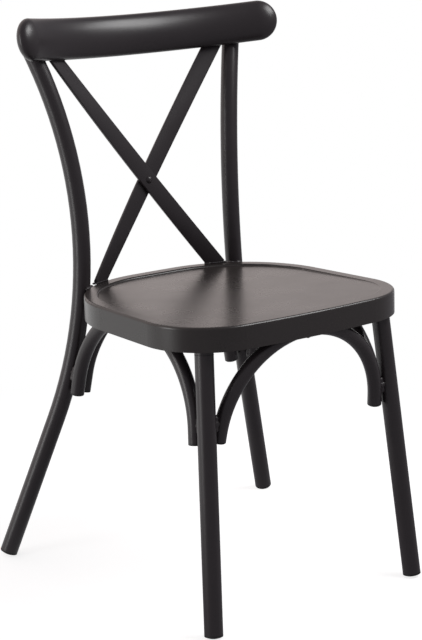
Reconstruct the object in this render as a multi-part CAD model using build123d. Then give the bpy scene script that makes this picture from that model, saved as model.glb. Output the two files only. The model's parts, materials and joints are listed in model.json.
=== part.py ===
from build123d import *
import os
from math import atan2, cos, degrees, radians, sin, sqrt, tan

# Garden chair with a cross back. Millimetres, +Z up, the sitter faces -Y.
# The seat's middle is the datum while building; the finished chair is then moved
# so that the origin lies on the floor under the middle of its box.

# Stock and fits
tube_d = 28.0
tube_wall = 1.5
arch_d = 22.0
arch_wall = 1.5
sheet = 1.5
fit = 0.3

# Seat pan
seat_height = 449.2
seat_tilt = 2.55
seat_half_front = 225.0
seat_half_rear = 201.5
seat_front = 197.0
seat_rear = 191.5
front_bow = 16.5
rear_bow = 7.5
front_corner_r = 104.8
rear_corner_r = 171.3
skirt = 36.8
pan_edge_r = 4.0
lip_width = 2.5
rim_width = 20.0
dish_front = 0.15
dish_rear = 3.6
dish_r = 3.0

# Front legs: axis on the floor and at the skirt's lower edge
front_foot_x = 196.0
front_foot_y = 227.5
front_top_x = 169.0
front_top_y = 168.0
collar_above = 10.0
collar_below = 7.0
neck_d = 20.0
socket_depth = 35.0

# Back posts: one bend plane each, turned outward and leaning back
post_turn = 39.7
post_lean = 3.6
post_offset = 10.3
post_waist_out = 227.5
post_waist_up = 481.5
leg_bend_r = 753.0
leg_bend = 19.7
back_bend_r = 751.0

# Crest rail: one arc in a plane tilted back, with a bold front and a flatter rear
rail_back = 262.6
rail_up = 816.5
rail_tilt = 12.6
rail_height = 65.0
rail_front = 16.0
rail_rear = 16.0
rail_wall = 2.0
rail_r = 411.5
rail_half = 32.1
post_rise = 27.0
post_cap = 3.0

# Cross straps
strap_width = 28.0
strap_thick = 5.0
strap_gap = 1.0
strap_top_x = 164.3
strap_top_y = 238.0
strap_top_z = 806.0
strap_foot_x = 113.5
strap_foot_y = 178.0
strap_bow = 6.0
strap_twist_top = 33.0
strap_twist_foot = 32.0
strap_twist_power = 1.2
strap_overrun = 0.06
rivet_d = 6.0
rivet_head_d = 12.0
rivet_head_h = 3.0

# Arch braces: crown's drop from the seat's height, bend radius, half angle of the bend, straight arm
front_arch_drop = 19.8
front_arch_y = 198.0
front_arch_lean = 7.1
front_arch_r = 150.5
front_arch_half = 84.3
front_arch_arm = 12.5
side_arch_drop = 19.8
side_arch_x = 166.0
side_arch_y = 1.6
side_arch_lean = -3.9
side_arch_r = 154.9
side_arch_half = 82.1
side_arch_arm = 18.9
rear_arch_drop = 32.2
rear_arch_y = 178.0
rear_arch_r = 146.0
rear_arch_half = 79.0
rear_arch_arm = 28.0
pad_width = 16.0
pad_length = 30.0

# Plugs, feet, spacers and crown screws
plug_lip = 3.0
plug_depth = 12.0
plug_edge_r = 1.2
foot_r = 30.0
foot_lip = 3.0
foot_depth = 20.0
spacer_d = 12.0
spacer_rise = 26.0
screw_d = 5.0
screw_head_d = 9.0
screw_head_h = 3.0
screw_grip = 3.0

tube_r = tube_d / 2
arch_r = arch_d / 2
screw_r = screw_d / 2
front_arch_up = seat_height - front_arch_drop
side_arch_up = seat_height - side_arch_drop
rear_arch_up = seat_height - rear_arch_drop

# Datums of the seat: the rim's top plane, and the dished panel's floor
seat_at = Pos(0, 0, seat_height) * Rot(-seat_tilt, 0, 0)
dish_span = seat_front + front_bow + seat_rear + rear_bow - 2 * rim_width
dish_slope = degrees(atan2(dish_rear - dish_front, dish_span))
dish_mid = dish_front + (seat_front + front_bow - rim_width) * tan(radians(dish_slope))
dish_at = seat_at * Pos(0, 0, -dish_mid) * Rot(-dish_slope, 0, 0)
under_at = dish_at * Pos(0, 0, -sheet)

# The rail's own plane: X across, Y back, Z along the height of its section
rail_plane = Plane(
    origin=(0, rail_back, rail_up),
    x_dir=(1, 0, 0),
    z_dir=(0, sin(radians(rail_tilt)), cos(radians(rail_tilt))),
)


def mirrored(shape):
    return mirror(shape, about=Plane.YZ)


def rod(start, end, radius):
    """A round bar between two points."""
    axis = Vector(*end) - Vector(*start)
    disc = Plane(origin=start, z_dir=axis) * Circle(radius)
    return extrude(disc, axis.length)


def turned(base, way, outline):
    """A turned piece: its half outline, as radius and height, about an axis."""
    flank = Plane(origin=base, z_dir=way).x_dir
    half = Plane(origin=base, x_dir=flank, z_dir=flank.cross(way)) * make_face(outline)
    return revolve(half, axis=Axis(base, way), revolution_arc=360)


def tube_along(path, radius, flank):
    """A round bar along a flat path, its seam on the flank, clear of every hole."""
    start = Plane(origin=path @ 0, x_dir=flank, z_dir=path % 0)
    return sweep(start * Circle(radius), path=path)


def seat_outline(inset):
    """The seat's outline, a rounded trapezoid, drawn in by the inset."""
    front_left = (seat_half_front, -seat_front)
    front_right = (-seat_half_front, -seat_front)
    rear_left = (seat_half_rear, seat_rear)
    rear_right = (-seat_half_rear, seat_rear)
    face = make_face([
        ThreePointArc(front_right, (0, -seat_front - front_bow), front_left),
        Line(front_left, rear_left),
        ThreePointArc(rear_left, (0, seat_rear + rear_bow), rear_right),
        Line(rear_right, front_right),
    ])
    face = fillet(face.vertices().sort_by(Axis.Y)[:2], front_corner_r)
    face = fillet(face.vertices().sort_by(Axis.Y)[-2:], rear_corner_r)
    return offset(face, -inset) if inset else face


def seat_pan(cutters):
    """Pressed pan: rim, sloping dish, skirt and a lip turned in at the bottom."""
    outer = extrude(seat_outline(0), -skirt)
    outer = fillet(outer.faces().sort_by(Axis.Z)[-1].edges(), pan_edge_r)
    room = extrude(Pos(0, 0, -sheet) * seat_outline(sheet), 2 * sheet - skirt)
    room = fillet(room.faces().sort_by(Axis.Z)[-1].edges(), pan_edge_r - sheet)
    mouth = extrude(Pos(0, 0, -skirt) * seat_outline(sheet + lip_width), sheet)
    to_dish = seat_at.inverse() * dish_at
    dish = extrude(seat_outline(rim_width), skirt / 2)
    dish = fillet(dish.faces().sort_by(Axis.Z)[0].edges(), dish_r)
    bulge = extrude(seat_outline(rim_width - sheet), skirt / 2)
    bulge = fillet(bulge.faces().sort_by(Axis.Z)[0].edges(), dish_r + sheet)
    hollow = room - to_dish * Pos(0, 0, -sheet) * bulge + mouth
    pan = seat_at * (outer - hollow - to_dish * dish)
    for cutter in cutters:
        pan -= cutter
    return pan


def front_leg_point(up):
    """Axis of the left front leg at a height above the floor."""
    skirt_foot = (seat_at * Pos(front_top_x, -front_top_y, -skirt)).position.Z
    share = up / skirt_foot
    x = front_foot_x + (front_top_x - front_foot_x) * share
    y = front_foot_y + (front_top_y - front_foot_y) * share
    return Vector(x, -y, up)


def front_leg_frame():
    """Where the leg crosses the skirt's lower edge, and the way down the leg."""
    top_up = (seat_at * Pos(front_top_x, -front_top_y, -skirt)).position.Z
    top = front_leg_point(top_up)
    down = (front_leg_point(0) - top).normalized()
    return top, down


def foot_end(centre, down):
    """The tube's end above a foot whose ball has this centre."""
    return centre + down * (sqrt(foot_r ** 2 - tube_r ** 2) - foot_lip)


def foot(centre, down):
    """Plug with a lip and a base cut from a ball, so that it stands at any tilt."""
    stem_r = tube_r - tube_wall - fit
    lip_end = sqrt(foot_r ** 2 - tube_r ** 2)
    end = lip_end - foot_lip
    return turned(centre, down, [
        Polyline(
            (0, foot_r), (0, end - foot_depth), (stem_r, end - foot_depth), (stem_r, end),
            (tube_r, end), (tube_r, lip_end),
        ),
        TangentArc((0, foot_r), (tube_r, lip_end), tangent=(1, 0)),
    ])


def front_leg():
    top, down = front_leg_frame()
    start = top + down * collar_below
    end = foot_end(front_leg_point(foot_r), down)
    return rod(start, end, tube_r) - rod(start, end, tube_r - tube_wall)


def leg_socket():
    """Collar under the pan with a neck above it and a spigot inside the leg."""
    top, down = front_leg_frame()
    joint = top + down * collar_below
    collar = rod(top - down * collar_above, joint, tube_r)
    neck = rod(top - down * 2 * skirt, joint, neck_d / 2)
    spigot = rod(joint, joint + down * socket_depth, tube_r - tube_wall - fit)
    above = under_at * Pos(0, 0, skirt) * Box(3 * seat_half_front, 3 * seat_rear, 2 * skirt)
    return collar + neck - above + spigot


def post_plane():
    """The left post's bend plane: X outward, Y up along the lean."""
    turn = radians(post_turn)
    lean = radians(post_lean)
    side = Vector(-sin(turn), cos(turn), 0)
    return Plane(
        origin=side * post_offset,
        x_dir=(cos(turn), sin(turn), 0),
        z_dir=Vector(cos(turn), sin(turn), 0).cross(side * sin(lean) + Vector(0, 0, cos(lean))),
    )


def post_out(up):
    """How far out the post's axis lies in its plane at a height in that plane."""
    below = post_waist_up - up
    if below <= 0:
        return post_waist_out + back_bend_r - sqrt(back_bend_r ** 2 - below ** 2)
    bend_drop = leg_bend_r * sin(radians(leg_bend))
    if below <= bend_drop:
        return post_waist_out + leg_bend_r - sqrt(leg_bend_r ** 2 - below ** 2)
    bend_out = leg_bend_r * (1 - cos(radians(leg_bend)))
    return post_waist_out + bend_out + (below - bend_drop) * tan(radians(leg_bend))


def post_point(up):
    """Axis of the left post at a height above the floor."""
    rise = up / cos(radians(post_lean))
    return post_plane().from_local_coords(Vector(post_out(rise), rise, 0))


def post_foot():
    """Centre of the rear foot's ball, and the way down the straight leg."""
    centre = post_point(foot_r)
    down = (post_point(foot_r / 2) - centre).normalized()
    return centre, down


def post_path(top_up):
    """From the tube's lower end through both bends to a height."""
    centre, down = post_foot()
    end = post_plane().to_local_coords(foot_end(centre, down))
    bend_low = post_waist_up - leg_bend_r * sin(radians(leg_bend))
    waist = (post_waist_out, post_waist_up)
    mid_low = (bend_low + post_waist_up) / 2
    top = top_up / cos(radians(post_lean))
    mid_top = (top + post_waist_up) / 2
    leg = Line((end.X, end.Y), (post_out(bend_low), bend_low))
    lower = ThreePointArc(leg @ 1, (post_out(mid_low), mid_low), waist)
    upper = ThreePointArc(waist, (post_out(mid_top), mid_top), (post_out(top), top))
    return post_plane() * Wire([leg, lower, upper])


def post_bar(top_up, radius):
    return tube_along(post_path(top_up), radius, post_plane().z_dir)


def back_post(rail_room):
    """Bent tube, closed at the top and shaped there to the rear of the rail."""
    top = rail_up + post_rise - rail_height / 2
    post = post_bar(top, tube_r) - post_bar(top - post_cap, tube_r - tube_wall) - rail_room
    return post.solids().sort_by(SortBy.VOLUME)[-1]


def rail_path():
    """Middle line of the rail in its plane, from the left end to the right."""
    return rail_plane * CenterArc((0, -rail_r), rail_r, 90 - rail_half, 2 * rail_half)


def rail_body(grow):
    """Half-oval bar along the rail's path with round ends, grown by a skin."""
    path = rail_path()
    high = rail_height / 2 + grow
    front = rail_front + grow
    rear = rail_rear + grow
    height_way = rail_plane.z_dir
    start = Plane(origin=path @ 0, x_dir=height_way, z_dir=path % 0)
    section = make_face([
        EllipticalCenterArc((0, 0), high, rear, 0, arc_size=180),
        EllipticalCenterArc((0, 0), high, front, 180, arc_size=180),
    ])
    upper_half = make_face([
        EllipticalCenterArc((0, 0), high, rear, 0, arc_size=90),
        Line((0, rear), (0, -front)),
        EllipticalCenterArc((0, 0), high, front, 270, arc_size=90),
    ])
    body = sweep(start * section, path=path)
    for place, way in ((0, -1), (1, 1)):
        end = Plane(origin=path @ place, x_dir=height_way, z_dir=path % place)
        turn_axis = Axis(path @ place, height_way.cross((path % place) * way))
        body += revolve(end * upper_half, axis=turn_axis, revolution_arc=180)
    return body


def crest_rail():
    return rail_body(0) - rail_body(-rail_wall)


def strap_ends(side):
    """Foot and top of a strap's middle line; the top lies on the given side."""
    foot_up = (seat_at * Pos(strap_foot_x, strap_foot_y, 0)).position.Z
    foot_point = Vector(-side * strap_foot_x, strap_foot_y, foot_up)
    return foot_point, Vector(side * strap_top_x, strap_top_y, strap_top_z)


def strap_recline():
    foot_point, top = strap_ends(1)
    return atan2(top.Y - foot_point.Y, top.Z - foot_point.Z)


def strap_middle(side, share):
    """Point on a strap's middle line, which is bowed to the rear, by share of its length."""
    foot_point, top = strap_ends(side)
    recline = strap_recline()
    sag = strap_bow * 4 * share * (1 - share)
    return foot_point + (top - foot_point) * share + Vector(0, cos(recline), -sin(recline)) * sag


def strap_bar(side, forward):
    """Flat bar turned along its length to face the middle at both ends."""
    foot_point, top = strap_ends(side)
    along = (top - foot_point).normalized()
    recline = strap_recline()
    shift = Vector(0, -cos(recline), sin(recline)) * forward * (strap_thick + strap_gap) / 2
    crossing = strap_foot_x / (strap_foot_x + strap_top_x)
    sections = []
    for share in (-strap_overrun, crossing / 2, crossing, (1 + crossing) / 2, 1.0):
        far = share - crossing
        turn = strap_twist_top * max(0, far / (1 - crossing)) ** strap_twist_power
        turn -= strap_twist_foot * max(0, -far / crossing) ** strap_twist_power
        face_turn = radians(-side * turn)
        facing = Vector(
            sin(face_turn) * cos(recline), -cos(face_turn) * cos(recline), sin(recline)
        )
        across = along.cross(facing).normalized()
        plane = Plane(origin=strap_middle(side, share) + shift, x_dir=across, z_dir=along)
        sections.append(plane * Rectangle(strap_width, strap_thick))
    return loft(sections)


def crossing_axis():
    """Middle of the crossing, and the way out to the front."""
    share = strap_foot_x / (strap_foot_x + strap_top_x)
    recline = strap_recline()
    return strap_middle(1, share), Vector(0, -cos(recline), sin(recline))


def cross_strap(side, forward, rail_room):
    """Strap from the seat's rim to the rear of the rail."""
    below = seat_at * Pos(0, 0, -skirt) * Box(3 * seat_half_front, 3 * seat_rear, 2 * skirt)
    centre, out = crossing_axis()
    reach = strap_thick * 2
    hole = rod(centre - out * reach, centre + out * reach, rivet_d / 2 + fit)
    strap = strap_bar(side, forward) - below - hole - rail_room
    return strap.solids().sort_by(SortBy.VOLUME)[-1]


def cross_rivet():
    """A shank with a round head at both ends."""
    centre, out = crossing_axis()
    half = strap_thick + strap_gap / 2 + fit
    head_r = rivet_head_d / 2
    shank_r = rivet_d / 2
    top = half + rivet_head_h
    return turned(centre, out, [
        TangentArc((0, top), (head_r, half), tangent=(1, 0)),
        Polyline((head_r, half), (shank_r, half), (shank_r, -half), (head_r, -half)),
        TangentArc((0, -top), (head_r, -half), tangent=(1, 0)),
        Line((0, -top), (0, top)),
    ])


class Arch:
    """An arch brace in its own plane, the crown's middle at the origin."""

    def __init__(self, plane, radius, half, arm, leg_points):
        self.plane = plane
        self.radius = radius
        self.half = radians(half)
        self.arm = arm
        self.leg_points = leg_points
        tip = self.local(0)[0]
        bend_end = self.local(arm)[0]
        bend = CenterArc((0, -radius), radius, 90 - half, 2 * half)
        left_arm = Line(tip, bend_end)
        right_arm = Line((-bend_end[0], bend_end[1]), (-tip[0], tip[1]))
        self.path = plane * Wire([left_arm, bend, right_arm])

    def local(self, rise):
        """Point on the left half's axis, and the way down it, by length above the tip."""
        turn = self.half - max(0, rise - self.arm) / self.radius
        past = max(0, self.arm - rise)
        point = (
            self.radius * sin(turn) + cos(turn) * past,
            self.radius * (cos(turn) - 1) - sin(turn) * past,
        )
        return point, (cos(turn), -sin(turn))

    def on_axis(self, rise):
        """The same for both halves of the finished arch."""
        point, way = self.local(rise)
        for side in (1, -1):
            place = self.plane.from_local_coords(Vector(side * point[0], point[1], 0))
            along = self.plane.x_dir * side * way[0] + self.plane.y_dir * way[1]
            yield place, along

    def fixings(self):
        """Each left-hand spacer's place on the arm's axis and on the leg's axis."""
        for (on_arm, along), leg_point in zip(self.on_axis(spacer_rise), self.leg_points):
            to_leg = leg_point(on_arm.Z) - on_arm
            yield on_arm, on_arm + to_leg - along * to_leg.dot(along)

    def solid(self, radius):
        return tube_along(self.path, radius, self.plane.z_dir)

    def pad(self):
        """Block between the crown and the pan's underside, saddled on the crown."""
        across = self.plane.x_dir
        place = (under_at.inverse() * Pos(*self.plane.origin)).position
        depth = -place.Z
        long_x = abs(across.X) * pad_length + abs(across.Y) * pad_width
        long_y = abs(across.X) * pad_width + abs(across.Y) * pad_length
        block = under_at * Pos(place.X, place.Y, -depth / 2) * Box(long_x, long_y, depth)
        return block - self.solid(arch_r + fit) - self.pad_hole()

    def pad_screw(self):
        crown = self.plane.origin
        up = Vector(0, 0, 1)
        head = crown - up * (arch_r + fit)
        return screw(head, up, arch_d + fit + screw_grip / 2)

    def pad_hole(self):
        crown = self.plane.origin
        up = Vector(0, 0, 1)
        return rod(crown - up * arch_d, crown + up * (arch_r + screw_grip), screw_r + fit)


def screw(seat, way, length):
    """Round-head screw: the head's flat face at the seat, the shank along the way."""
    head_r = screw_head_d / 2
    return turned(seat, way, [
        TangentArc((0, -screw_head_h), (head_r, 0), tangent=(1, 0)),
        Polyline((head_r, 0), (screw_r, 0), (screw_r, length), (0, length), (0, -screw_head_h)),
    ])


def upright(origin, across, lean):
    """A plane that stands on its X direction, its top leaning along its normal."""
    up = Vector(0, 0, 1)
    normal = Vector(*across).cross(up) * cos(radians(lean)) - up * sin(radians(lean))
    return Plane(origin=origin, x_dir=across, z_dir=normal)


# The right arch is the left one's mirror image
arches = {
    "front_arch": Arch(
        upright((0, -front_arch_y, front_arch_up), (1, 0, 0), front_arch_lean),
        front_arch_r, front_arch_half, front_arch_arm, [front_leg_point],
    ),
    "rear_arch": Arch(
        upright((0, rear_arch_y, rear_arch_up), (1, 0, 0), 0),
        rear_arch_r, rear_arch_half, rear_arch_arm, [post_point],
    ),
    "left_arch": Arch(
        upright((side_arch_x, -side_arch_y, side_arch_up), (0, 1, 0), side_arch_lean),
        side_arch_r, side_arch_half, side_arch_arm, [post_point, front_leg_point],
    ),
}


def plug(end, way):
    """Push-in plug with a lip as wide as the tube, its outer rim rounded."""
    stem_r = arch_r - arch_wall - fit
    rim = plug_lip - plug_edge_r
    return turned(end, way, [
        Polyline(
            (0, plug_lip), (0, -plug_depth), (stem_r, -plug_depth), (stem_r, 0),
            (arch_r, 0), (arch_r, rim),
        ),
        TangentArc((arch_r, rim), (arch_r - plug_edge_r, plug_lip), tangent=(0, 1)),
        Line((arch_r - plug_edge_r, plug_lip), (0, plug_lip)),
    ])


def spacer(arch, on_arm, on_leg, leg_room):
    """Short bar from an arch arm to a leg, its ends shaped to both."""
    bar = rod(on_arm, on_leg, spacer_d / 2) - arch.solid(arch_r + fit) - leg_room
    return bar.solids().sort_by(SortBy.VOLUME)[-1]


# Rooms kept free for the legs and the rail
rail_room = rail_body(fit)
post_room = post_bar(rail_up - rail_height, tube_r + fit)
top, down = front_leg_frame()
leg_room = rod(top - down * collar_above, front_leg_point(0), tube_r + fit)
rooms = {front_leg_point: leg_room, post_point: post_room}

# Spacers of the left side, arch by arch
spacers = []
for arch in arches.values():
    for (on_arm, on_leg), leg_point in zip(arch.fixings(), arch.leg_points):
        spacers.append(spacer(arch, on_arm, on_leg, rooms[leg_point]))


def both(shapes):
    """The given pieces of the left side and their mirror images."""
    return Compound(shapes + [mirrored(shape) for shape in shapes])


# Pieces that come in a left and a right one
left_parts = {
    "front_leg": front_leg(),
    "leg_socket": leg_socket(),
    "back_post": back_post(rail_room),
    "foot_front": foot(front_leg_point(foot_r), down),
    "foot_rear": foot(*post_foot()),
}
parts = {}
for name, shape in left_parts.items():
    parts[f"{name}_left"] = shape
    parts[f"{name}_right"] = mirrored(shape)

# Seat and back
all_rooms = [leg_room, mirrored(leg_room), post_room, mirrored(post_room)]
parts["seat_pan"] = seat_pan(all_rooms)
parts["crest_rail"] = crest_rail()
parts["cross_strap_front"] = cross_strap(-1, 1, rail_room)
parts["cross_strap_rear"] = cross_strap(1, -1, rail_room)
parts["cross_rivet"] = cross_rivet()

# Braces and their fixings
for name, arch in arches.items():
    brace = arch.solid(arch_r) - arch.solid(arch_r - arch_wall)
    parts[name] = brace - arch.pad_hole()
    parts[f"{name}_plugs"] = Compound([plug(end, way) for end, way in arch.on_axis(0)])
parts["right_arch"] = mirrored(parts["left_arch"])
parts["right_arch_plugs"] = mirrored(parts["left_arch_plugs"])
pads = [arch.pad() for arch in arches.values()]
pad_screws = [arch.pad_screw() for arch in arches.values()]
parts["arch_pads"] = Compound(pads + [mirrored(pads[-1])])
parts["arch_pad_screws"] = Compound(pad_screws + [mirrored(pad_screws[-1])])
parts["arch_spacers"] = both(spacers)

# The origin goes on the floor under the middle of the chair's box
box = Compound(list(parts.values())).bounding_box()
to_origin = Pos(0, -box.center().Y, -box.min.Z)
os.makedirs("parts", exist_ok=True)
for name, shape in parts.items():
    export_step(to_origin * shape, f"parts/{name}.step")
print(len(parts), "nodes, box", box.size)
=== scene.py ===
# %% [markdown]
# # A garden chair with a cross back
# The chair is dark powder-coated metal: bent tubes, flat straps, a pressed seat and a hollow rail.
# This lesson dresses the construction model. Each cell adds one piece, one finish or one light.
# The model arrives in metres with +Z up. The sitter faces -Y.

# %% Load the construction model
import json
from math import cos, pi, radians, sin

import bmesh
import bpy
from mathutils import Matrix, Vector, noise


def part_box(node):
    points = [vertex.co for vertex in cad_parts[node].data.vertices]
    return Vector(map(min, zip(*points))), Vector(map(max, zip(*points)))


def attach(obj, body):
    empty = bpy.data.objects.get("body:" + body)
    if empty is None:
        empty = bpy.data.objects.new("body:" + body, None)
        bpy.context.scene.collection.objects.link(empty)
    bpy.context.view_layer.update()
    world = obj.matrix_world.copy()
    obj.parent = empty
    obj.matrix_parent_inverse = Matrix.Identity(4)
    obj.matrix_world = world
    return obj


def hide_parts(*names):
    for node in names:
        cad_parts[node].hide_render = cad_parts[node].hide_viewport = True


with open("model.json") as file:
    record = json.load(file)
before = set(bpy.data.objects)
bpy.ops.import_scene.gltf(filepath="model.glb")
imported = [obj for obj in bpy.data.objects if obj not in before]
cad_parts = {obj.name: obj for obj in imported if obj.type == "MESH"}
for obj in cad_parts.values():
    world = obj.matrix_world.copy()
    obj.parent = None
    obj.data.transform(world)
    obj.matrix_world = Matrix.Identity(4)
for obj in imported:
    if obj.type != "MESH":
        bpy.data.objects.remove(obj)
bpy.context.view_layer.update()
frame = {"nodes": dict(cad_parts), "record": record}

nodes = frame["nodes"]
BODY = "root"

# %% [markdown]
# ## Camera
# A product photograph of a chair is taken from far away with a long lens, so that the legs stay parallel.
# The camera is set by its place, its turn about the chair and its tilt. No aiming helper is needed.
# Its place is measured from the crown of the rear arch, which the construction model holds.

# %% Camera
rear_arch_low, rear_arch_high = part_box("rear_arch")
rear_arch_y = (rear_arch_low[1] + rear_arch_high[1]) / 2
camera_turn = radians(-37.14)
camera_drop = radians(15.09)
camera_place = Vector((-1.7697, rear_arch_y - 2.4763, 1.1821))
focal_pixels = 1934.6
picture_height = 640
sensor = 36.0

camera_data = bpy.data.cameras.new("photo_camera")
camera_data.sensor_fit = "VERTICAL"
camera_data.sensor_height = sensor
camera_data.lens = sensor * focal_pixels / picture_height
camera = bpy.data.objects.new("photo_camera", camera_data)
bpy.context.scene.collection.objects.link(camera)
camera.location = camera_place
camera.rotation_euler = (pi / 2 - camera_drop, 0, camera_turn)
bpy.context.scene.camera = camera
print("lens in millimetres:", round(camera_data.lens, 1))

# %% [markdown]
# ## Shader sums
# A material's maths reads best as a plain sum. This small class wraps one socket of a node tree.
# Each operator adds a Math node, and `node` adds any other node: its settings first, then its sockets.

# %% A socket that takes part in sums
class Field:
    def __init__(self, tree, socket=None):
        self.tree = tree
        self.socket = socket

    def node(self, kind, settings, sockets, out=0):
        made = self.tree.nodes.new(kind)
        for name, value in settings.items():
            setattr(made, name, value)
        for name, value in sockets.items():
            if isinstance(value, Field):
                self.tree.links.new(value.socket, made.inputs[name])
            else:
                made.inputs[name].default_value = value
        return Field(self.tree, made.outputs[out] if len(made.outputs) else None)

    def math(self, operation, first, second):
        return self.node("ShaderNodeMath", {"operation": operation}, {0: first, 1: second})

    def __add__(self, other):
        return self.math("ADD", self, other)

    __radd__ = __add__

    def __mul__(self, other):
        return self.math("MULTIPLY", self, other)

    __rmul__ = __mul__

    def step(self, low, high):
        """A soft step from 0 to 1 between two values."""
        return self.node(
            "ShaderNodeMapRange", {"interpolation_type": "SMOOTHSTEP"},
            {"Value": self, "From Min": low, "From Max": high},
        )


def blank_tree(owner):
    """Empty the node tree of a material or a world, and start a field on it."""
    owner.use_nodes = True
    owner.node_tree.nodes.clear()
    return Field(owner.node_tree)


print("shader sums are ready")

# %% [markdown]
# ## Studio
# The chair stands in a soft studio: a white backdrop behind it, a dim room in front.
# A dark satin coat shows mostly what it reflects, so what is white and what is dim matters more than the power.
# The camera sees pure white, and reflections see the backdrop where it is.

# %% Room
backdrop_way = (-0.25, 0.968, 0.0)


def studio_room():
    world = bpy.data.worlds.new("studio_room")
    field = blank_tree(world)
    way = field.node("ShaderNodeTexCoord", {}, {}, "Generated")
    facing = field.node("ShaderNodeVectorMath", {"operation": "DOT_PRODUCT"}, {0: way, 1: backdrop_way}, "Value")
    dim = field.node("ShaderNodeBackground", {}, {"Color": (0.30, 0.29, 0.31, 1)})
    backdrop = field.node("ShaderNodeBackground", {}, {"Color": (1.00, 0.895, 0.87, 1)})
    white = field.node("ShaderNodeBackground", {}, {"Color": (1, 1, 1, 1)})
    room = field.node("ShaderNodeMixShader", {}, {0: facing.step(0.10, 0.67), 1: dim, 2: backdrop})
    seen = field.node("ShaderNodeLightPath", {}, {}, "Is Camera Ray")
    shown = field.node("ShaderNodeMixShader", {}, {0: seen, 1: room, 2: white})
    field.node("ShaderNodeOutputWorld", {}, {"Surface": shown})
    bpy.context.scene.world = world
    return world


bpy.context.scene.view_settings.view_transform = "Standard"
print("room:", studio_room().name)

# %% [markdown]
# The key light is a large soft panel, high on the sitter's left. It draws the long highlight on the crest rail.
# A second, weaker panel on the other side models the round of the tubes.

# %% Panels
def panel(name, place, aim, size, power):
    """A large rectangular lamp that faces a point and stays out of the picture."""
    data = bpy.data.lights.new(name, "AREA")
    data.shape = "RECTANGLE"
    data.size, data.size_y = size
    data.energy = power
    lamp = bpy.data.objects.new(name, data)
    bpy.context.scene.collection.objects.link(lamp)
    lamp.location = place
    lamp.rotation_euler = (Vector(aim) - Vector(place)).to_track_quat("-Z", "Y").to_euler()
    lamp.visible_camera = False
    return lamp


key_panel = panel("key_panel", (1.47, -1.22, 2.55), (0, 0.1, 0.7), (1.8, 1.1), 52)
side_panel = panel("side_panel", (-2.8, 0.5, 0.9), (0, 0, 0.45), (0.9, 1.8), 22)
print("panels:", key_panel.name, side_panel.name)

# %% [markdown]
# The floor is a plain pale sheet. For the camera it is white with the chair's own soft shadow, and far away it
# is pure white, so that it has no visible edge. In reflections it runs from the dim room to the backdrop.

# %% Floor
def pale_floor():
    material = bpy.data.materials.new("pale_floor")
    field = blank_tree(material)
    at = field.node("ShaderNodeTexCoord", {}, {}, "Object")
    away = field.node("ShaderNodeVectorMath", {"operation": "LENGTH"}, {0: at}, "Value")
    back = field.node("ShaderNodeVectorMath", {"operation": "DOT_PRODUCT"}, {0: at, 1: backdrop_way}, "Value")
    light_path = field.node("ShaderNodeLightPath", {}, {}, "Is Camera Ray")
    glossy = Field(field.tree, light_path.socket.node.outputs["Is Glossy Ray"])
    sheet = field.node("ShaderNodeBsdfDiffuse", {}, {"Color": (0.40, 0.40, 0.40, 1)})
    lift = field.node("ShaderNodeEmission", {}, {"Color": (1, 1, 1, 1), "Strength": 0.78})
    near = field.node("ShaderNodeAddShader", {}, {0: lift, 1: sheet})
    white = field.node("ShaderNodeEmission", {}, {"Color": (1, 1, 1, 1)})
    seen = field.node("ShaderNodeMixShader", {}, {0: away.step(0.55, 1.0), 1: near, 2: white})
    dim = field.node("ShaderNodeEmission", {}, {"Color": (0.28, 0.27, 0.29, 1)})
    pale = field.node("ShaderNodeEmission", {}, {"Color": (1, 1, 1, 1)})
    mirrored = field.node("ShaderNodeMixShader", {}, {0: back.step(0.0, 0.7), 1: dim, 2: pale})
    lit = field.node("ShaderNodeMixShader", {}, {0: glossy, 1: sheet, 2: mirrored})
    shown = field.node("ShaderNodeMixShader", {}, {0: light_path, 1: lit, 2: seen})
    field.node("ShaderNodeOutputMaterial", {}, {"Surface": shown})
    return material


half_floor = 30.0
corners = [(x * half_floor, y * half_floor, 0) for x, y in ((-1, -1), (1, -1), (1, 1), (-1, 1))]
floor_mesh = bpy.data.meshes.new("floor")
floor_mesh.from_pydata(corners, [], [(0, 1, 2, 3)])
floor_mesh.materials.append(pale_floor())
floor = bpy.data.objects.new("floor", floor_mesh)
bpy.context.scene.collection.objects.link(floor)
print("floor:", 2 * half_floor, "metres wide")

# %% [markdown]
# ## Powder coat
# The metal is sprayed with powder and baked. The melted powder keeps a fine orange-peel skin about a millimetre
# across, over wider, very shallow waves, and its gloss drifts a little from place to place.
# One function makes each shade of it. The skin is bump only, because it is thinner than a hair.

# %% Powder coat
def powder_coat(name, colour, rough, peel=0.10):
    material = bpy.data.materials.new(name)
    field = blank_tree(material)
    at = field.node("ShaderNodeTexCoord", {}, {}, "Object")
    drift = field.node("ShaderNodeTexNoise", {}, {"Vector": at, "Scale": 14.0, "Detail": 3.0}, "Fac")
    skin = field.node("ShaderNodeTexNoise", {}, {"Vector": at, "Scale": 850.0, "Detail": 1.5}, "Fac")
    waves = field.node("ShaderNodeTexNoise", {}, {"Vector": at, "Scale": 42.0, "Detail": 1.0}, "Fac")
    specks = field.node("ShaderNodeTexNoise", {}, {"Vector": at, "Scale": 2600.0, "Detail": 0.0}, "Fac")
    deep = tuple(0.84 * c for c in colour) + (1,)
    pale = tuple(1.16 * c for c in colour) + (1,)
    shade = drift * 0.7 + specks * 0.3
    tint = field.node("ShaderNodeMix", {"data_type": "RGBA"}, {"Factor": shade, 6: deep, 7: pale}, 2)
    height = skin * 0.35 + waves * 1.0
    bump = field.node("ShaderNodeBump", {}, {"Height": height, "Strength": peel, "Distance": 0.0006})
    shader = field.node("ShaderNodeBsdfPrincipled", {}, {
        "Base Color": tint, "Roughness": drift * 0.10 + (rough - 0.05), "Normal": bump, "IOR": 1.5,
    })
    field.node("ShaderNodeOutputMaterial", {}, {"Surface": shader})
    return material


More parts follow.
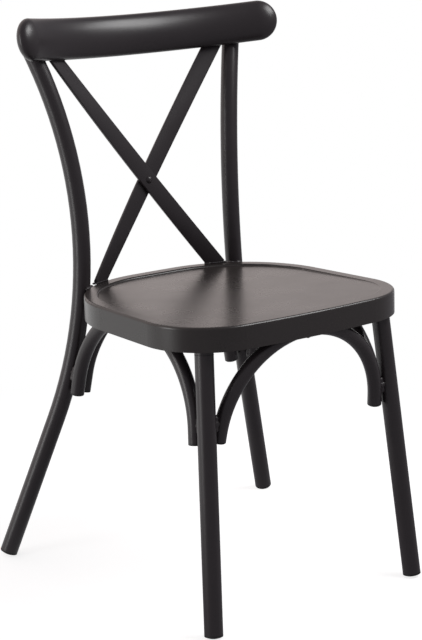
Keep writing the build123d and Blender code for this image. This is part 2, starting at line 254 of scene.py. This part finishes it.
frame_coat = powder_coat("frame_coat", (0.0225, 0.0180, 0.0200), 0.33)
# The seat has the same powder as the frame. Its base colour is a little lighter and warmer than the frame's, and
# this is painted light: it stands for the warm reflection on the lit seat top.
seat_coat = powder_coat("seat_coat", (0.0250, 0.0210, 0.0200), 0.28, peel=0.06)
print("coats:", frame_coat.name, seat_coat.name)

# %% [markdown]
# The plugs and feet are moulded plastic: blacker and duller than the coat, with a fine sparked grain.
# The screws under the seat are blackened steel with a fine dull grain.

# %% Plastic and steel
def moulded_plastic():
    material = bpy.data.materials.new("moulded_plastic")
    field = blank_tree(material)
    at = field.node("ShaderNodeTexCoord", {}, {}, "Object")
    grain = field.node("ShaderNodeTexVoronoi", {}, {"Vector": at, "Scale": 1400.0}, "Distance")
    scuffs = field.node("ShaderNodeTexNoise", {}, {"Vector": at, "Scale": 60.0, "Detail": 4.0}, "Fac")
    tint = field.node("ShaderNodeMix", {"data_type": "RGBA"}, {
        "Factor": scuffs, 6: (0.008, 0.008, 0.008, 1), 7: (0.014, 0.0135, 0.013, 1),
    }, 2)
    bump = field.node("ShaderNodeBump", {}, {"Height": grain, "Strength": 0.15, "Distance": 0.0003})
    shader = field.node("ShaderNodeBsdfPrincipled", {}, {
        "Base Color": tint, "Roughness": scuffs * 0.16 + 0.44, "Normal": bump, "IOR": 1.46,
    })
    field.node("ShaderNodeOutputMaterial", {}, {"Surface": shader})
    return material


def blackened_steel():
    material = bpy.data.materials.new("blackened_steel")
    field = blank_tree(material)
    at = field.node("ShaderNodeTexCoord", {}, {}, "Object")
    grain = field.node("ShaderNodeTexNoise", {}, {"Vector": at, "Scale": 700.0, "Detail": 2.0}, "Fac")
    tint = field.node("ShaderNodeMix", {"data_type": "RGBA"}, {
        "Factor": grain, 6: (0.05, 0.047, 0.045, 1), 7: (0.10, 0.095, 0.09, 1),
    }, 2)
    bump = field.node("ShaderNodeBump", {}, {"Height": grain, "Strength": 0.1, "Distance": 0.0002})
    shader = field.node("ShaderNodeBsdfPrincipled", {}, {
        "Base Color": tint, "Roughness": grain * 0.15 + 0.3, "Metallic": 1.0, "Normal": bump,
    })
    field.node("ShaderNodeOutputMaterial", {}, {"Surface": shader})
    return material


plastic = moulded_plastic()
steel = blackened_steel()
finishes = {"frame_coat": frame_coat, "seat_coat": seat_coat, "plugs": plastic, "fixings": steel}
for entry in frame["record"]["subparts"]:
    mesh = nodes[entry["node"]].data
    mesh.materials.clear()
    mesh.materials.append(finishes[entry["material_slot"]])

# %% [markdown]
# ## Adding pieces
# Each new piece is a mesh that rides on the chair's one body and names the record's slot for its finish.
# The pieces here are all long: a row of small outlines, one after the other, joined by faces like a knitted
# sleeve. A ring joins its last outline to its first, and any other piece is closed by a cap at each end.

# %% Adding pieces
def add_piece(name, points, faces, slot):
    mesh = bpy.data.meshes.new(name)
    mesh.from_pydata([tuple(p) for p in points], [], faces)
    mesh.materials.append(finishes[slot])
    mesh.polygons.foreach_set("use_smooth", [True] * len(mesh.polygons))
    piece = bpy.data.objects.new(name, mesh)
    bpy.context.scene.collection.objects.link(piece)
    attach(piece, BODY)
    return piece


def sleeve(rows, around, closed):
    """Faces that join a number of outlines, each with the same number of points around."""
    faces = []
    for row in range(rows if closed else rows - 1):
        near, far = row * around, (row + 1) % rows * around
        for here in range(around):
            ahead = (here + 1) % around
            faces.append((near + here, near + ahead, far + ahead, far + here))
    if not closed:
        faces.append(tuple(range(around))[::-1])
        faces.append(tuple((rows - 1) * around + here for here in range(around)))
    return faces


print("a ring of 4 outlines with 3 points has", len(sleeve(4, 3, True)), "faces")

# %% [markdown]
# ## Lines read from the model
# Welds and seams run where pieces meet, so their lines are read from the construction model and not typed in.
# A plane that cuts a piece leaves its outline. The outline's points come at uneven steps, and a second function
# spreads them evenly.

# %% Lines read from the model
def cut_loop(node, point, normal):
    """The longest closed line where a plane cuts a node, as ordered points."""
    shape = bmesh.new()
    shape.from_mesh(nodes[node].data)
    bmesh.ops.remove_doubles(shape, verts=shape.verts, dist=1e-5)
    every = shape.verts[:] + shape.edges[:] + shape.faces[:]
    cut = bmesh.ops.bisect_plane(shape, geom=every, plane_co=point, plane_no=normal)["geom_cut"]
    next_to = {}
    for edge in cut:
        if isinstance(edge, bmesh.types.BMEdge):
            first, second = edge.verts
            next_to.setdefault(first, []).append(second)
            next_to.setdefault(second, []).append(first)
    loops = []
    while next_to:
        here = next(iter(next_to))
        loop = []
        while here is not None:
            loop.append(here.co.copy())
            ahead = next_to.pop(here)
            here = next((v for v in ahead if v in next_to), None)
        loops.append(loop)
    shape.free()
    return max(loops, key=lambda loop: sum((a - b).length for a, b in zip(loop, loop[1:])))


def spread(points, spacing, closed):
    """The same line with even spacing."""
    line = points + points[:1] if closed else points
    lengths = [(b - a).length for a, b in zip(line, line[1:])]
    count = max(4, round(sum(lengths) / spacing))
    wanted = [sum(lengths) * i / (count if closed else count - 1) for i in range(count)]
    made = []
    run, leg = 0.0, 0
    for mark in wanted:
        while leg < len(lengths) - 1 and run + lengths[leg] < mark:
            run += lengths[leg]
            leg += 1
        share = (mark - run) / lengths[leg] if lengths[leg] else 0.0
        made.append(line[leg].lerp(line[leg + 1], min(1.0, share)))
    return made


def middle_of(points):
    return sum(points, Vector()) / len(points)


rim_tilt = radians(2.55)
rim_way = Vector((0, sin(rim_tilt), cos(rim_tilt)))
rim_place = Vector((0, rear_arch_y - 0.178, 0.4492))
print("post at the seat:", len(cut_loop("back_post_left", rim_place, rim_way)), "points")

# %% [markdown]
# ## Weld beads
# The posts, the straps and the rail are joined by hand welds. A weld bead is a row of overlapping drops, so its
# thickness swells and shrinks every few millimetres and it never runs quite straight.
# Each bead is a small round section drawn along the line where two pieces meet. The line is read from the
# construction model: a level cut through the post or strap gives its outline, and each point of the outline is
# kept only where the other piece is close by. Where the two part, the bead grows to fill the groove.

# %% Weld bead
bead_step = 0.0011
drop_pitch = 0.0034
bead_sides = 10
lump_scale = 260
wander_scale = 190


def weld_bead(name, points, size, closed, lumps=1.0):
    """A lumpy round bead along a line; size gives its radius at a point."""
    line = spread(points, bead_step, closed)
    count = len(line)
    ring_points = []
    for i, middle in enumerate(line):
        after = line[(i + 1) % count] if closed or i < count - 1 else middle
        before = line[i - 1] if closed or i > 0 else middle
        along = (after - before).normalized()
        side = along.cross(Vector((0.3, 0.2, 1))).normalized()
        up = side.cross(along)
        drop = abs(sin(i * bead_step / drop_pitch * pi))
        radius = size(middle)
        swell = radius * (1 + lumps * (0.22 * drop - 0.20 + 0.30 * noise.noise(middle * lump_scale)))
        if not closed:
            swell *= min(1.0, 0.25 + 0.25 * min(i, count - 1 - i)) ** 0.5
        spot = middle * wander_scale
        wander = Vector((noise.noise(spot + Vector((7, 0, 0))), noise.noise(spot), 0))
        stray = wander * radius * 0.35 * lumps
        for j in range(bead_sides):
            turn = 2 * pi * j / bead_sides
            ring_points.append(middle + stray + (side * cos(turn) + up * sin(turn)) * swell)
    return add_piece(name, ring_points, sleeve(count, bead_sides, closed), "frame_coat")


print("a bead has a point each", bead_step * 1000, "mm")

# %% [markdown]
# The first beads join the posts to the seat's rear corners. Only the part of a post's outline that lies near the
# seat is welded, and the bead runs midway between the two.

# %% Beads at the seat
def longest_run(points, keep):
    """The longest stretch of a closed line whose points are all kept."""
    best, here = [], []
    for point, kept in list(zip(points, keep)) * 2:
        here = here + [point] if kept else []
        if len(best) < len(here) <= len(points):
            best = here
    return best


def to_pan(point):
    """From a point to the nearest place on the seat."""
    near = nodes["seat_pan"].closest_point_on_mesh(point)[1]
    return near - point


groove = 0.0065
seat_bead = 0.0018
just_below = 0.001
fine_step = 0.001
for side in ("left", "right"):
    loop = spread(cut_loop(f"back_post_{side}", rim_place - rim_way * just_below, rim_way), fine_step, True)
    run = longest_run(loop, [to_pan(p).length < groove for p in loop])
    middle = [p + to_pan(p) / 2 for p in run]
    bead = weld_bead(f"seat_weld_{side}", middle, lambda p: seat_bead + to_pan(p).length, False)
    print(bead.name, "runs", len(run), "mm")

# %% [markdown]
# Between an arch's arm and its leg sits a short spacer, closed in by a smooth tab about as long as a thumb is wide.
# The tab's line runs along the leg. At each step the middle between arm and leg is found on their surfaces.
# Half the mean gap, with a few millimetres more, is the tab's radius. It is a bead with hardly any lumps.

# %% Tabs between arms and legs
tab_half = 0.013
tab_steps = 14
tab_swell = 0.0035
legs = ["front_leg_left", "front_leg_right", "back_post_left", "back_post_right"]
braces = ["front_arch", "rear_arch", "left_arch", "right_arch"]


def nearest(names, point):
    """The nearest of some nodes to a point."""
    return min(names, key=lambda n: (nodes[n].closest_point_on_mesh(point)[1] - point).length)


def islands(node):
    """The middle of each separate solid of a node."""
    shape = bmesh.new()
    shape.from_mesh(nodes[node].data)
    bmesh.ops.remove_doubles(shape, verts=shape.verts, dist=1e-5)
    seen = set()
    middles = []
    for start in shape.verts:
        if start in seen:
            continue
        seen.add(start)
        found = [start]
        for vert in found:
            for edge in vert.link_edges:
                other = edge.other_vert(vert)
                if other not in seen:
                    seen.add(other)
                    found.append(other)
        middles.append(middle_of([v.co for v in found]))
    shape.free()
    return middles


def leg_way(leg, point):
    """The way up a leg near a point."""
    level = Vector((0, 0, 1))
    low, high = (middle_of(cut_loop(leg, point + level * rise, level)) for rise in (-0.02, 0.02))
    return (high - low).normalized()


for middle in islands("arch_spacers"):
    leg, brace = nearest(legs, middle), nearest(braces, middle)
    way = leg_way(leg, middle)
    gaps, line = [], []
    for step in range(-tab_steps, tab_steps + 1):
        point = middle + way * tab_half * step / tab_steps
        on_leg = nodes[leg].closest_point_on_mesh(point)[1]
        on_arm = nodes[brace].closest_point_on_mesh(point)[1]
        line.append((on_leg + on_arm) / 2)
        gaps.append((on_leg - on_arm).length)
    half_gap = sum(gaps) / len(gaps) / 2
    tab = weld_bead(f"tab_{brace}_{leg}", line, lambda p: half_gap + tab_swell, False, lumps=0.04)
    print(tab.name, "half gap", round(half_gap * 1000, 2), "mm")

# %% [markdown]
# The straps' feet stand on the seat's rim. A fine bead runs all around each foot.

# %% Beads at the straps' feet
foot_bead = 0.0013
just_above = 0.0012
for side in ("front", "rear"):
    loop = cut_loop(f"cross_strap_{side}", rim_place + rim_way * just_above, rim_way)
    bead = weld_bead(f"foot_weld_{side}", loop, lambda p: foot_bead, True)
    print(bead.name, "runs", len(loop), "points")

# %% [markdown]
# A front leg is pushed over its socket, and a hair-thin dark line shows where the tube's end meets the collar: the
# shade in the fine gap there.
# It is drawn as a thin ring around the end of the tube in the dark plastic finish, so the ring's darkness is
# painted shade.

# %% Seams at the collars
seam_radius = 0.0004
seam_step = 0.0015
seam_sides = 8


def shade_line_ring(name, loop):
    """A fine smooth ring along a closed line, in the dark plastic finish as painted shade."""
    line = spread(loop, seam_step, True)
    centre = middle_of(line)
    points = []
    for i, point in enumerate(line):
        along = (line[(i + 1) % len(line)] - line[i - 1]).normalized()
        out = (point - centre).normalized()
        up = along.cross(out)
        for j in range(seam_sides):
            turn = 2 * pi * j / seam_sides
            points.append(point + (out * cos(turn) + up * sin(turn)) * seam_radius)
    # The dark plastic finish paints the shade of the fine gap where tube and collar meet.
    return add_piece(name, points, sleeve(len(line), seam_sides, True), "plugs")


for side in ("left", "right"):
    leg = f"front_leg_{side}"
    lowest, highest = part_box(leg)
    half = (lowest[2] + highest[2]) / 2
    points = [v.co for v in nodes[leg].data.vertices]
    low = middle_of([p for p in points if p.z <= half])
    high = middle_of([p for p in points if p.z > half])
    way = (high - low).normalized()
    ring = shade_line_ring(f"collar_shade_line_{side}", cut_loop(leg, high - way * seam_radius, way))
    print(ring.name, "at", round(high.z, 4), "m")

# %% [markdown]
# A post's top runs up behind the rail. Each point of the post's outline is carried up the post until it meets the
# rail, and the bead follows these meeting points. The straps are welded the same way.

# %% Beads under the rail
below_rail = 0.772


def rail_meeting(node):
    """Where the outline of a post or strap meets the rail, carried along its length."""
    level = Vector((0, 0, 1))
    low = cut_loop(node, Vector((0, 0, below_rail - 0.012)), level)
    loop = spread(cut_loop(node, Vector((0, 0, below_rail)), level), fine_step, True)
    along = (middle_of(loop) - middle_of(low)).normalized()
    met = []
    for point in loop:
        hit, place, _, _ = nodes["crest_rail"].ray_cast(point, along, distance=0.05)
        met.append(place if hit else None)
    return met


for node, name, radius in (
    ("back_post_left", "rail_weld_left", 0.0022), ("back_post_right", "rail_weld_right", 0.0022),
    ("cross_strap_front", "rail_weld_front_strap", 0.0014), ("cross_strap_rear", "rail_weld_rear_strap", 0.0014),
):
    met = rail_meeting(node)
    run = longest_run(met, [p is not None for p in met])
    bead = weld_bead(name, run, lambda p: radius, len(run) == len(met))
    print(bead.name, "follows", len(run), "of", len(met), "points")

# %% [markdown]
# ## Cross straps
# The straps are flat bar with worn-down edges. Each is bowed a little to the rear and twisted from end to end.
# A bar with rounded edges catches a fine line of light, so each strap is drawn from rounded sections, set along
# its length and turned step by step. It replaces the sharp-edged strap of the construction model.

# %% Cross straps
strap_width = 0.028
strap_thick = 0.005
strap_edge = 0.0011
strap_gap = 0.001
strap_bow = 0.006
strap_top = Vector((0.1643, rear_arch_y + 0.060, 0.806))
strap_foot = Vector((0.1135, rear_arch_y, 0.0))
strap_foot.z = rim_place.z - (strap_foot.y - rim_place.y) * rim_way.y / rim_way.z
twist_top, twist_foot, twist_power = 33.0, 32.0, 1.2
strap_steps = 90
strap_overrun = 0.01


def strap_outline():
    """A flat bar's section with rounded edges."""
    outline = []
    for across, thick, start in ((1, 1, 0), (-1, 1, 90), (-1, -1, 180), (1, -1, 270)):
        for step in range(4):
            turn = radians(start + 30 * step)
            outline.append((
                across * (strap_width / 2 - strap_edge) + strap_edge * cos(turn),
                thick * (strap_thick / 2 - strap_edge) + strap_edge * sin(turn),
            ))
    return outline


def cross_strap(name, side, forward, node):
    foot = Vector((-side * strap_foot.x, strap_foot.y, strap_foot.z))
    top = Vector((side * strap_top.x, strap_top.y, strap_top.z))
    along = (top - foot).normalized()
    back = Vector((0, top.y - foot.y, top.z - foot.z)).normalized()
    lean_cos, lean_sin = back.z, back.y
    front = Vector((0, -lean_cos, lean_sin))
    shift = front * forward * (strap_thick + strap_gap) / 2
    crossing = strap_foot.x / (strap_foot.x + strap_top.x)
    outline = strap_outline()
    points = []
    for i in range(strap_steps + 1):
        share = -strap_overrun + (1 + strap_overrun) * i / strap_steps
        far = share - crossing
        turn = twist_top * max(0, far / (1 - crossing)) ** twist_power
        turn -= twist_foot * max(0, -far / crossing) ** twist_power
        face_turn = radians(-side * turn)
        facing = Vector((sin(face_turn) * lean_cos, -cos(face_turn) * lean_cos, lean_sin))
        across = along.cross(facing).normalized()
        out = across.cross(along)
        middle = foot.lerp(top, share) + shift - front * strap_bow * 4 * share * (1 - share)
        points += [middle + across * u + out * v for u, v in outline]
    strap = add_piece(name, points, sleeve(strap_steps + 1, len(outline), False), "frame_coat")
    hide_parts(node)
    return strap


front_strap = cross_strap("front_strap", -1, 1, "cross_strap_front")
rear_strap = cross_strap("rear_strap", 1, -1, "cross_strap_rear")
print("straps:", front_strap.name, rear_strap.name)
